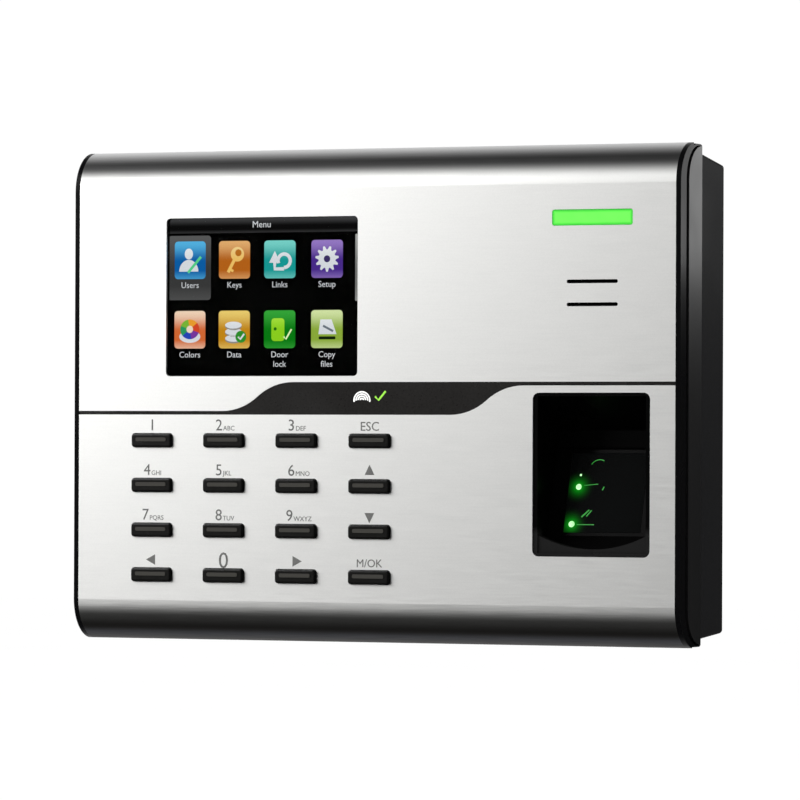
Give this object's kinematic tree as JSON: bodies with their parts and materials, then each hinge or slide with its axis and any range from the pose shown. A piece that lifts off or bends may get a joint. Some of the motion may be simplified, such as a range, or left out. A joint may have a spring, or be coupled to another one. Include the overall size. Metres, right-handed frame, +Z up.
{
  "type": "fingerprint scanner terminal",
  "caption": "Wall-mounted fingerprint scanner terminal with a colour screen, a keypad, a recessed finger window and an indicator bar, hung on a steel wall plate.",
  "frame": {"origin": "middle of the wall plate's rear face, where it meets the wall", "axes": "+Z up, the front of the terminal looks along -Y, the wall is on the +Y side, +X is to the viewer's right"},
  "size_m": [0.1792, 0.0381, 0.134],
  "materials": {
    "zinc_steel": "zinc plated, satin",
    "gloss_black": "moulded ABS, polished",
    "satin_graphite": "moulded ABS, satin",
    "matte_black": "moulded ABS, fine texture",
    "brushed_aluminium": "fine brushed, anodised",
    "gloss_black_band": "moulded ABS, polished",
    "clear_window": "clear acrylic, polished",
    "display": "screen module",
    "bracket_steel": "pressed sheet",
    "green_lens": "tinted acrylic",
    "circuit_board": "solder mask",
    "lamp_body": "moulded lamp",
    "speaker_frame": "speaker frame",
    "speaker_fabric": "woven cloth",
    "silicone_mat": "moulded silicone",
    "bezel_black": "moulded ABS, polished",
    "sensor_glass": "optical glass",
    "lens_barrel": "threaded barrel",
    "green_lamp": "green lamp",
    "chip_black": "moulded",
    "socket_nylon": "moulded nylon",
    "can_aluminium": "drawn can",
    "cell_steel": "bright",
    "jack_shell": "tinned shell",
    "terminal_green": "moulded nylon",
    "plunger_plastic": "moulded acetal",
    "battery_wrap": "shrink wrap",
    "lead_insulation": "insulated wire",
    "ribbon_film": "polyimide film",
    "screw_steel": "zinc plated",
    "insert_brass": "knurled brass",
    "key_black": "moulded ABS, polished"
  },
  "bodies": {
    "wall_bracket": {"wall_plate": "zinc_steel"},
    "terminal": {"front_frame": "gloss_black", "middle_frame": "satin_graphite", "rear_housing": "matte_black", "upper_panel": "brushed_aluminium", "lower_panel": "brushed_aluminium", "trim_band": "gloss_black_band", "screen_window": "clear_window", "lcd_module": "display", "lcd_bracket": "bracket_steel", "light_bar_lens": "green_lens", "indicator_board": "circuit_board", "indicator_leds": "lamp_body", "speaker": "speaker_frame", "speaker_cloth": "speaker_fabric", "keypad_mat": "silicone_mat", "keypad_board": "circuit_board", "sensor_bezel": "bezel_black", "sensor_prism": "sensor_glass", "sensor_housing": "matte_black", "sensor_board": "circuit_board", "sensor_lens": "lens_barrel", "sensor_leds": "green_lamp", "main_board": "circuit_board", "board_chips": "chip_black", "board_sockets": "socket_nylon", "capacitors": "can_aluminium", "coin_cell_holder": "chip_black", "coin_cell": "cell_steel", "network_jack": "jack_shell", "terminal_block": "terminal_green", "usb_port": "jack_shell", "tamper_switch": "chip_black", "backup_battery": "battery_wrap", "speaker_leads": "lead_insulation", "battery_leads": "lead_insulation", "lcd_ribbon": "ribbon_film", "keypad_ribbon": "ribbon_film", "sensor_ribbon": "ribbon_film", "case_screws": "screw_steel", "small_screws": "screw_steel", "lock_insert": "insert_brass"},
    "tamper_plunger": {"tamper_plunger": "plunger_plastic"},
    "security_screw": {"security_screw": "screw_steel"},
    "key_1": {"key_1": "key_black"},
    "key_2": {"key_2": "key_black"},
    "key_3": {"key_3": "key_black"},
    "key_escape": {"key_escape": "key_black"},
    "key_4": {"key_4": "key_black"},
    "key_5": {"key_5": "key_black"},
    "key_6": {"key_6": "key_black"},
    "key_up": {"key_up": "key_black"},
    "key_7": {"key_7": "key_black"},
    "key_8": {"key_8": "key_black"},
    "key_9": {"key_9": "key_black"},
    "key_down": {"key_down": "key_black"},
    "key_left": {"key_left": "key_black"},
    "key_0": {"key_0": "key_black"},
    "key_right": {"key_right": "key_black"},
    "key_enter": {"key_enter": "key_black"}
  },
  "joints": [
    {"name": "terminal_lift", "type": "slide", "parent": "wall_bracket", "child": "terminal", "axis": [0, 0, 1], "range_m": [0, 0.006]},
    {"name": "tamper_press", "type": "slide", "parent": "terminal", "child": "tamper_plunger", "axis": [0, -1, 0], "range_m": [0, 0.001], "stiffness_N_per_m": 300, "springref_m": -0.001},
    {"name": "security_screw_out", "type": "slide", "parent": "wall_bracket", "child": "security_screw", "axis": [0, 0, -1], "range_m": [0, 0.009]},
    {"name": "key_1_press", "type": "slide", "parent": "terminal", "child": "key_1", "axis": [0, 1, 0], "range_m": [0, 0.0008], "stiffness_N_per_m": 800},
    {"name": "key_2_press", "type": "slide", "parent": "terminal", "child": "key_2", "axis": [0, 1, 0], "range_m": [0, 0.0008], "stiffness_N_per_m": 800},
    {"name": "key_3_press", "type": "slide", "parent": "terminal", "child": "key_3", "axis": [0, 1, 0], "range_m": [0, 0.0008], "stiffness_N_per_m": 800},
    {"name": "key_escape_press", "type": "slide", "parent": "terminal", "child": "key_escape", "axis": [0, 1, 0], "range_m": [0, 0.0008], "stiffness_N_per_m": 800},
    {"name": "key_4_press", "type": "slide", "parent": "terminal", "child": "key_4", "axis": [0, 1, 0], "range_m": [0, 0.0008], "stiffness_N_per_m": 800},
    {"name": "key_5_press", "type": "slide", "parent": "terminal", "child": "key_5", "axis": [0, 1, 0], "range_m": [0, 0.0008], "stiffness_N_per_m": 800},
    {"name": "key_6_press", "type": "slide", "parent": "terminal", "child": "key_6", "axis": [0, 1, 0], "range_m": [0, 0.0008], "stiffness_N_per_m": 800},
    {"name": "key_up_press", "type": "slide", "parent": "terminal", "child": "key_up", "axis": [0, 1, 0], "range_m": [0, 0.0008], "stiffness_N_per_m": 800},
    {"name": "key_7_press", "type": "slide", "parent": "terminal", "child": "key_7", "axis": [0, 1, 0], "range_m": [0, 0.0008], "stiffness_N_per_m": 800},
    {"name": "key_8_press", "type": "slide", "parent": "terminal", "child": "key_8", "axis": [0, 1, 0], "range_m": [0, 0.0008], "stiffness_N_per_m": 800},
    {"name": "key_9_press", "type": "slide", "parent": "terminal", "child": "key_9", "axis": [0, 1, 0], "range_m": [0, 0.0008], "stiffness_N_per_m": 800},
    {"name": "key_down_press", "type": "slide", "parent": "terminal", "child": "key_down", "axis": [0, 1, 0], "range_m": [0, 0.0008], "stiffness_N_per_m": 800},
    {"name": "key_left_press", "type": "slide", "parent": "terminal", "child": "key_left", "axis": [0, 1, 0], "range_m": [0, 0.0008], "stiffness_N_per_m": 800},
    {"name": "key_0_press", "type": "slide", "parent": "terminal", "child": "key_0", "axis": [0, 1, 0], "range_m": [0, 0.0008], "stiffness_N_per_m": 800},
    {"name": "key_right_press", "type": "slide", "parent": "terminal", "child": "key_right", "axis": [0, 1, 0], "range_m": [0, 0.0008], "stiffness_N_per_m": 800},
    {"name": "key_enter_press", "type": "slide", "parent": "terminal", "child": "key_enter", "axis": [0, 1, 0], "range_m": [0, 0.0008], "stiffness_N_per_m": 800}
  ]
}
